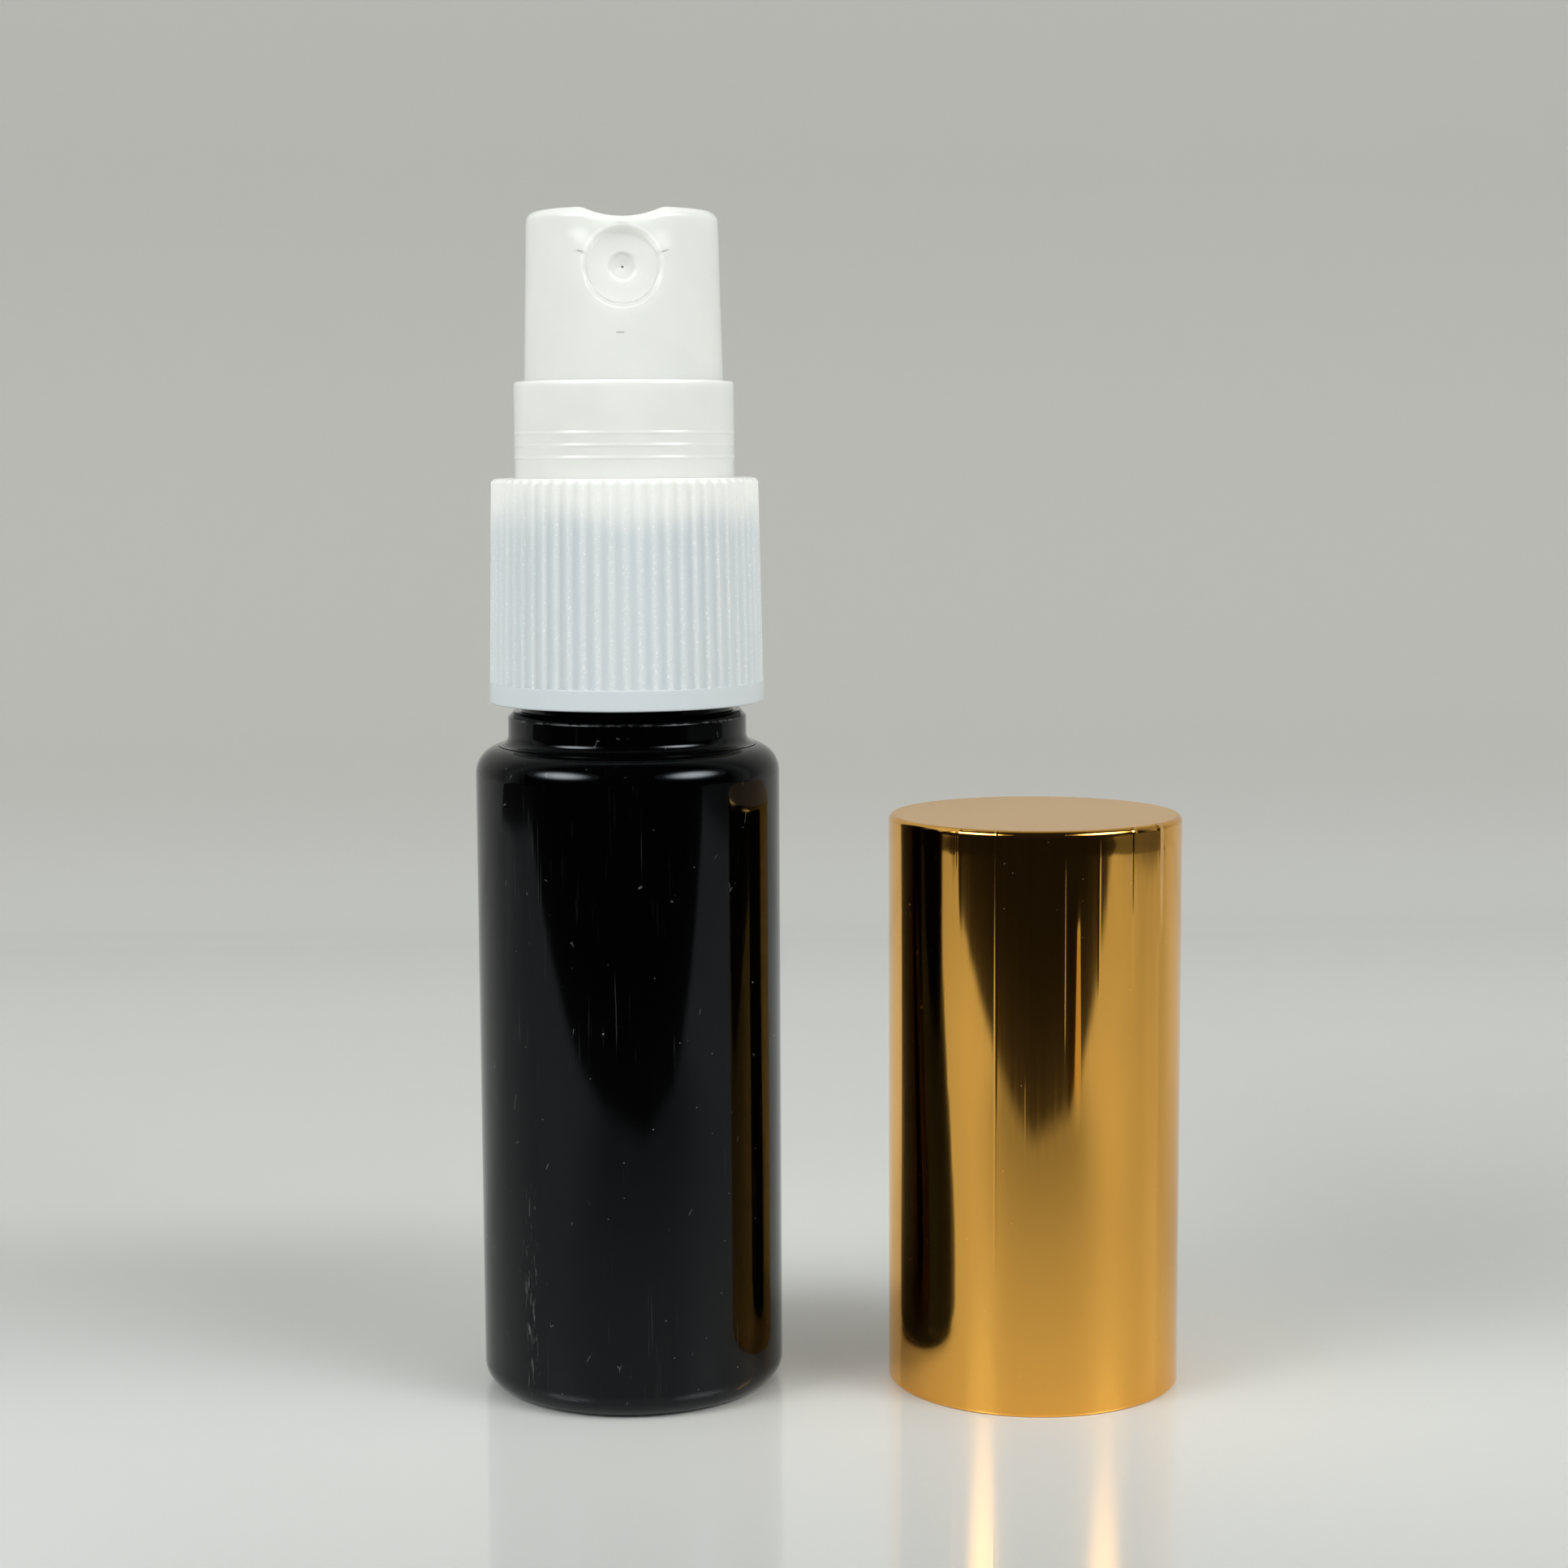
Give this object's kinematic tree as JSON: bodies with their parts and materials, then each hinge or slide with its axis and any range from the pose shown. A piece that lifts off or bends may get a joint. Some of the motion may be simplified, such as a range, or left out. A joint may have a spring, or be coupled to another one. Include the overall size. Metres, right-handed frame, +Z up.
{
  "type": "spray bottle",
  "caption": "Slim round fine-mist spray bottle with a ribbed screw collar, a press-down pump button with a recessed nozzle, a dip tube, and its metal overcap standing beside it.",
  "frame": {"origin": "centre of the bottle's base, on the surface it stands on", "axes": "+Z up along the bottle's axis, -Y the way the nozzle sprays, +X towards the overcap that stands beside it"},
  "size_m": [0.0528, 0.0238, 0.0878],
  "materials": {
    "bottle_plastic": "black, glossy",
    "collar_plastic": "milky white, slightly translucent, satin",
    "gasket_rubber": "soft white sealing disc",
    "turret_plastic": "milky white, satin to glossy",
    "housing_plastic": "natural, translucent",
    "ball_steel": "polished stainless",
    "tube_plastic": "natural, translucent",
    "spring_steel": "drawn stainless wire",
    "piston_plastic": "natural, waxy",
    "rod_plastic": "natural",
    "stem_plastic": "natural",
    "actuator_plastic": "milky white, satin to glossy",
    "insert_plastic": "milky white",
    "gold_aluminium": "bright gold anodised, satin on the flat top",
    "liner_plastic": "natural"
  },
  "bodies": {
    "bottle": {"bottle": "bottle_plastic"},
    "pump": {"pump_turret": "turret_plastic", "gasket": "gasket_rubber", "pump_housing": "housing_plastic", "dip_tube": "tube_plastic", "return_spring": "spring_steel"},
    "collar": {"screw_collar": "collar_plastic"},
    "plunger": {"stem": "stem_plastic", "piston_rod": "rod_plastic"},
    "button": {"actuator": "actuator_plastic", "nozzle_insert": "insert_plastic"},
    "piston": {"piston": "piston_plastic"},
    "ball": {"inlet_ball": "ball_steel"},
    "overcap": {"overcap_shell": "gold_aluminium", "overcap_liner": "liner_plastic"}
  },
  "joints": [
    {"name": "pump_lift", "type": "slide", "parent": "bottle", "child": "pump", "axis": [0, 0, 1], "range_m": [0, 0.00477]},
    {"name": "collar_turn", "type": "hinge", "parent": "pump", "child": "collar", "pos_m": [0, 0, 0.06], "axis": [0, 0, 1], "range_deg": [0, 540]},
    {"name": "actuator_press", "type": "slide", "parent": "pump", "child": "plunger", "axis": [0, 0, -1], "range_m": [0, 0.004], "stiffness_N_per_m": 1000, "springref_m": -0.003, "deforming": ["return_spring"]},
    {"name": "actuator_turn", "type": "hinge", "parent": "plunger", "child": "button", "pos_m": [0, 0, 0.08], "axis": [0, 0, 1], "continuous": true},
    {"name": "piston_slide", "type": "slide", "parent": "pump", "child": "piston", "axis": [0, 0, -1], "range_m": [0, 0.0035]},
    {"name": "ball_lift", "type": "slide", "parent": "pump", "child": "ball", "axis": [0, 0, 1], "range_m": [0, 0.0005]},
    {"name": "cap_lift", "type": "slide", "parent": "bottle", "child": "overcap", "axis": [0, 0, 1], "range_m": [0, 0.1]}
  ],
  "couplings": [
    {"joint": "pump_lift", "follows": "collar_turn", "m_per_rad": 0.00050532},
    {"joint": "piston_slide", "follows": "actuator_press", "ratio": 0.875}
  ]
}
